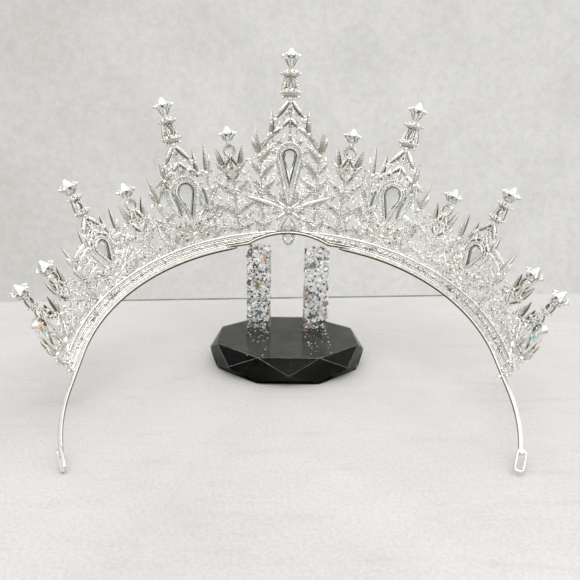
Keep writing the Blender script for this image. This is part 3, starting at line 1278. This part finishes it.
def silver(name, cast=True):
    """Silver plate, darker and warmer where the shade is low; cast silver is also specked and uneven."""
    look = surface(name, Metallic=1.0)
    tone = look.ramp(look.attribute("shade", "Fac"), (0.0, (0.17, 0.13, 0.085)), (0.13, (0.46, 0.44, 0.38)),
                     (0.27, (0.77, 0.76, 0.72)), (0.5, (0.945, 0.945, 0.93)), (1.0, (0.975, 0.975, 0.965)))
    layers = [look.cloud(420, 4, (0.3, (0.88, 0.88, 0.85)), (0.6, 1))]
    if cast:
        layers.append(look.cloud(1900, 2, (0.31, (0.34, 0.31, 0.26)), (0.37, (0.72, 0.71, 0.67)),
                                 (0.44, (0.95, 0.95, 0.94)), (0.52, 1)))
        dents = look.node("Bump", Height=look.noise(1500, 4), Strength=0.7, Distance=0.00018)
        look.end(Normal=dents.outputs["Normal"])
    return look.end(Base_Color=look.product(tone, *layers),
                    Roughness=look.cloud(800, 3, (0.35, 0.07), (0.7, 0.24)))


def coated_glass(name, metal, rough, film, coat, scale, *stops):
    look = surface(name, Metallic=metal, Roughness=rough, IOR=1.6, Coat_Weight=coat, Coat_Roughness=0.02,
                   Thin_Film_Thickness=film, Thin_Film_IOR=1.7)
    return look.end(Base_Color=look.cloud(scale, 2, *stops))


def crystal(name, tint, metal, rough, film):
    bright = tuple(min(1, c * 1.12) for c in tint)
    return coated_glass(name, metal, rough, film, 0.6, 260, (0.35, tint), (0.65, bright))


def coated_pear():
    return coated_glass("coated_pear_glass", 0.45, 0.05, 420, 0.5, 330, (0.36, (0.08, 0.5, 0.55)),
                        (0.45, (0.5, 0.78, 0.82)), (0.53, (0.9, 0.92, 0.92)), (0.6, (0.66, 0.36, 0.2)))


def open_drop():
    """Clear glass, with a low index because light passes straight through an open-backed stone."""
    look = surface("clear_drop_glass", Transmission_Weight=0.97, Roughness=0.02, IOR=1.2)
    return look.end(Base_Color=look.cloud(90, 1, (0.3, (0.965, 0.985, 0.965)), (0.7, (0.99, 1, 0.99))))


def glitter():
    look = surface("glitter_flakes", Roughness=0.3)
    fleck = look.cloud(900, 2, (0.3, 0.95), (0.6, 1.0))
    return look.end(Base_Color=look.product(look.attribute("tint", "Color"), fleck))


def glitter_fill():
    look = surface("glitter_depth", Metallic=0.1, Roughness=0.5)
    cells = look.node("TexVoronoi", Vector=look.coordinate(), Scale=1500).outputs["Color"]
    pick = look.node("SeparateColor", Color=cells).outputs["Red"]
    return look.end(Base_Color=look.ramp(pick, (0.0, 0.03), (0.14, 0.25), (0.22, 0.75), (1.0, 0.95)))


def resin():
    look = surface("clear_resin", Base_Color=(1, 1, 1, 1), IOR=1.5, Alpha=0.06)
    return look.end(Roughness=look.cloud(300, 2, (0.3, 0.02), (0.7, 0.06)))


def clear_block():
    look = surface("clear_cut_block", Transmission_Weight=1.0, IOR=1.04)
    return look.end(Base_Color=look.cloud(60, 2, (0.3, (0.9, 0.92, 0.88)), (0.7, (0.96, 0.97, 0.94))),
                    Roughness=look.cloud(500, 2, (0.4, 0.0), (0.8, 0.03)))


def pale_edge():
    look = surface("polished_resin_edge", Roughness=0.3, Alpha=0.22)
    return look.end(Base_Color=look.cloud(200, 3, (0.35, 0.25), (0.65, 0.75)))


def black():
    look = surface("black_gloss", IOR=1.5, Specular_IOR_Level=0.1)
    tone = look.ramp(look.attribute("shade", "Fac"), (0.0, 0.001), (0.6, (0.012, 0.0115, 0.009)),
                     (1.0, (0.062, 0.061, 0.055)))
    return look.end(Base_Color=look.product(tone, look.cloud(120, 3, (0.3, 0.6), (0.7, 1.0))),
                    Roughness=look.cloud(700, 3, (0.4, 0.03), (0.8, 0.1)))


SILVER, WIRE = silver("bright_silver_casting"), silver("smooth_silver_wire", cast=False)
GEM = crystal("bright_crystal", (0.84, 0.86, 0.86), 0.55, 0.08, 380)
AB_GEM = crystal("iridescent_crystal", (0.84, 0.92, 0.95), 0.6, 0.05, 560)
DROP, PEAR = open_drop(), coated_pear()
STONES = {"drop": DROP, "oval": DROP, "pear": PEAR, "wing": AB_GEM, "navette": AB_GEM}
GLITTER, FILL, RESIN = glitter(), glitter_fill(), resin()
CLEAR, BLACK, EDGE = clear_block(), black(), pale_edge()

for k in range(-LAST, LAST + 1):
    spire(k)
rim()
side_bands()
lattice()
post("post_left", "l")
post("post_right", "r")
base()
for name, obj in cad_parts.items():
    if not obj.hide_render:
        obj.data.materials.clear()
        obj.data.materials.append(STONES.get(name.split("_")[0], GEM))


# Table, room, light and camera, in metres
WALL_FOOT, WALL_SLANT = 0.1145, 0.111


def wall_y(x):
    """Where the table meets the wall, a little askew."""
    return WALL_FOOT + WALL_SLANT * x


def sheet(name, corners, material):
    mesh = bpy.data.meshes.new(name)
    mesh.from_pydata(corners, [], [(0, 1, 2, 3)])
    new_object(name, mesh, material)


def pale_table():
    look = surface("pale_table", Roughness=0.6)
    along = look.node("Mapping", Vector=look.coordinate(), Scale=(1, 6, 1)).outputs["Vector"]
    clouds = look.cloud(9, 6, (0.3, (0.585, 0.57, 0.556)), (0.62, (0.668, 0.655, 0.646)), rough=0.65)
    specks = look.cloud(60, 5, (0.22, (0.6, 0.57, 0.53)), (0.3, (0.96, 0.955, 0.95)), (0.5, 1), rough=0.75)
    flecks = look.cloud(900, 3, (0.3, (0.86, 0.855, 0.85)), (0.6, 1.02), rough=0.8)
    streaks = look.cloud(28, 5, (0.3, (0.95, 0.93, 0.925)), (0.46, 1.01), rough=0.65, vector=along)
    return look.end(Base_Color=look.product(clouds, specks, flecks, streaks))


def joint_shadow():
    """Dark line between table and wall."""
    look = surface("joint_shadow", Roughness=0.9)
    return look.end(Base_Color=look.cloud(50, 2, (0.3, (0.16, 0.17, 0.13)), (0.7, (0.34, 0.35, 0.3))))


def studio():
    """World: the camera sees a mottled plaster wall, lighter to the right; the silver reflects a room that is
    pale on the wall's side and has a dark band at eye height on the viewer's side."""
    world = bpy.data.worlds.new("studio")
    bpy.context.scene.world = world
    look = Look(world, "Background")
    to = look.coordinate("Generated")
    x, y, z = look.node("SeparateXYZ", Vector=to).outputs
    height = look.share(z, -1, 1)
    wall_side = look.ramp(height, (0.0, (0.5, 0.495, 0.48)), (0.45, (0.58, 0.575, 0.56)),
                          (0.5, (0.69, 0.685, 0.67)), (0.65, (0.71, 0.705, 0.695)), (0.8, (0.86, 0.86, 0.85)),
                          (1.0, (0.97, 0.97, 0.965)))
    viewer_side = look.ramp(height, (0.0, (0.6, 0.6, 0.55)), (0.44, (0.42, 0.41, 0.36)),
                            (0.485, (0.2, 0.19, 0.15)), (0.535, (0.26, 0.25, 0.2)),
                            (0.585, (0.6, 0.59, 0.555)), (0.65, (0.82, 0.82, 0.79)),
                            (1.0, (0.93, 0.93, 0.915)))
    room = look.mix(look.share(y, 0.1, -0.45), wall_side, viewer_side)
    plaster = look.ramp(look.share(x, -0.45, 0.35), (0.0, (0.69, 0.675, 0.655)), (0.5, (0.765, 0.757, 0.74)),
                        (1.0, (0.77, 0.762, 0.747)))
    mottles = [look.cloud(scale, detail, (0.32, (low, low, low * 0.985)), (0.62, 1), rough=rough, vector=to)
               for scale, detail, rough, low in ((7, 5, 0.6, 0.9), (90, 3, 0.7, 0.91), (420, 2, 0.8, 0.93))]
    seen = look.node("LightPath").outputs["Is Camera Ray"]
    look.end(Color=look.mix(seen, room, look.product(plaster, *mottles)))


def pose(obj, x, y, z, place):
    """Puts an object at a place, with its axes along x, y and z."""
    obj.matrix_world = Matrix(np.vstack([np.column_stack([x, y, z, place]), [0, 0, 0, 1]]).tolist())


def lamp(name, place, target, size, power):
    """Rectangular white lamp that shines from a place on a target."""
    data = bpy.data.lights.new(name, "AREA")
    data.shape, data.size, data.size_y = "RECTANGLE", *size
    data.energy = power
    z = np.array(place, float) - np.array(target, float)
    z /= np.linalg.norm(z)
    x = np.cross((0, 0, 1), z)
    x /= np.linalg.norm(x)
    pose(new_object(name, data), x, np.cross(z, x), z, place)


TABLE_X, TABLE_FRONT, JOINT_X, JOINT_DEPTH = 2, -0.42, (-0.125, 0.115), 0.0014
sheet("floor", [(-TABLE_X, TABLE_FRONT, 0), (TABLE_X, TABLE_FRONT, 0), (TABLE_X, wall_y(TABLE_X), 0),
                (-TABLE_X, wall_y(-TABLE_X), 0)], pale_table())
left, right = JOINT_X
sheet("joint", [(left, wall_y(left) - JOINT_DEPTH, 0.0002), (right, wall_y(right) - JOINT_DEPTH, 0.0002),
                (right, wall_y(right), 0.0006), (left, wall_y(left), 0.0006)], joint_shadow())
studio()
lamp("key", (0.4, 0.0, 0.65), (0, 0, 0.04), (1.4, 1.4), 3.2)
lamp("fill", (-0.5, -0.45, 0.45), (0, 0, 0.05), (0.7, 0.8), 0.95)
lamp("glints", (0.05, -0.52, 0.62), (0, 0, 0.05), (0.7, 0.7), 1.5)

# camera fitted to the photo: focal length and picture width in pixels, place, and turns
FOCAL_PX, PICTURE_PX, SENSOR = 609, 580, 36
CAMERA_PLACE = (-0.007, -0.2637, 0.0948)
YAW, ROLL, PITCH = radians(1.7056), radians(1.098), radians(13.3)


def swung(x, y, z):
    """Direction turned by the camera's yaw."""
    return np.array([cos(YAW) * x + sin(YAW) * y, -sin(YAW) * x + cos(YAW) * y, z])


ahead, level, upright = swung(0, cos(PITCH), -sin(PITCH)), swung(1, 0, 0), swung(0, sin(PITCH), cos(PITCH))
lens = bpy.data.cameras.new("camera")
lens.sensor_width, lens.lens = SENSOR, SENSOR * FOCAL_PX / PICTURE_PX
lens.clip_start, lens.clip_end = 0.01, 20
camera = new_object("camera", lens)
right, up = cos(ROLL) * level + sin(ROLL) * upright, cos(ROLL) * upright - sin(ROLL) * level
pose(camera, right, up, -ahead, CAMERA_PLACE)
bpy.context.scene.camera = camera
bpy.context.scene.view_settings.view_transform = "Standard"
